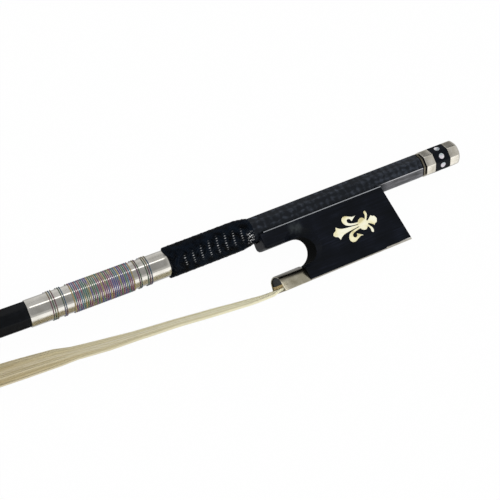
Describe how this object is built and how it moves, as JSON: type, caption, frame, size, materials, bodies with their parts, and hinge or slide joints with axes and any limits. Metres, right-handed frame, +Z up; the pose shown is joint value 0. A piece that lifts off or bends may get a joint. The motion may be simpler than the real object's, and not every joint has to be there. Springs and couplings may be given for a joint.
{
  "type": "violin bow",
  "caption": "Slack violin bow lying on its side: carbon stick, wrapped grip, ebony frog with a fleur-de-lis inlay, and a screw button that slides the frog to tighten the hair.",
  "frame": {"origin": "centre of the bounding box on the floor, with the bow lying on its side", "axes": "+X along the handle towards the screw button, +Y from the hair towards the stick, +Z up, square to the frog's cheek"},
  "size_m": [0.7432, 0.0894, 0.0136],
  "materials": {
    "carbon": "moulded carbon fibre under clear lacquer, black with a mottled weave",
    "leather": "black leather embossed with a pebbled grain",
    "foil": "polished silver foil",
    "thread": "silk thread in changing teal, purple and gold",
    "ebony": "polished ebony, near black",
    "nickel_silver": "nickel silver, softly polished",
    "steel": "turned steel",
    "brass": "bright brass",
    "gold_pearl": "gold mother of pearl, polished",
    "pearl": "grey-white mother of pearl, polished",
    "maple": "plain maple, not finished",
    "fibre": "black fibre sheet",
    "bone": "white bone, matt",
    "horsehair": "unbleached cream horsehair"
  },
  "bodies": {
    "bow_stick": {"stick": "carbon", "head_liner": "fibre", "head_plate": "bone", "head_mortise_plug": "maple", "head_hair_knot": "horsehair", "hair_ribbon": "horsehair", "leather_grip": "leather", "lapping_sleeve": "foil", "lapping_thread": "thread", "accent_thread_1": "thread", "accent_thread_2": "thread", "accent_thread_3": "thread", "accent_thread_4": "thread"},
    "frog": {"frog_body": "ebony", "frog_liner": "nickel_silver", "liner_pin_1": "brass", "liner_pin_2": "brass", "ferrule": "nickel_silver", "spread_wedge": "maple", "underslide": "nickel_silver", "pearl_slide": "pearl", "heel_plate": "nickel_silver", "heel_pin_1": "brass", "heel_pin_2": "brass", "frog_mortise_plug": "maple", "frog_hair_knot": "horsehair", "eyelet": "brass", "fleur_inlay_near": "gold_pearl", "fleur_inlay_far": "gold_pearl"},
    "screw_button": {"adjusting_screw": "steel", "button_collar": "nickel_silver", "button_front_ring": "nickel_silver", "button_core": "ebony", "button_rear_ring": "nickel_silver", "button_eye": "pearl", "pearl_dot_1": "pearl", "pearl_dot_2": "pearl", "pearl_dot_3": "pearl", "pearl_dot_4": "pearl", "pearl_dot_5": "pearl", "pearl_dot_6": "pearl", "pearl_dot_7": "pearl", "pearl_dot_8": "pearl"}
  },
  "joints": [
    {"name": "button_turn", "type": "hinge", "parent": "bow_stick", "child": "screw_button", "pos_m": [0.35675, -0.02048, 0.00678], "axis": [-1, 0, 0], "range_deg": [0, 2880]},
    {"name": "frog_slide", "type": "slide", "parent": "bow_stick", "child": "frog", "axis": [1, 0, 0], "range_m": [0, 0.0056], "deforming": ["hair_ribbon"]}
  ],
  "couplings": [
    {"joint": "button_turn", "follows": "frog_slide", "rad_per_m": 8976}
  ]
}
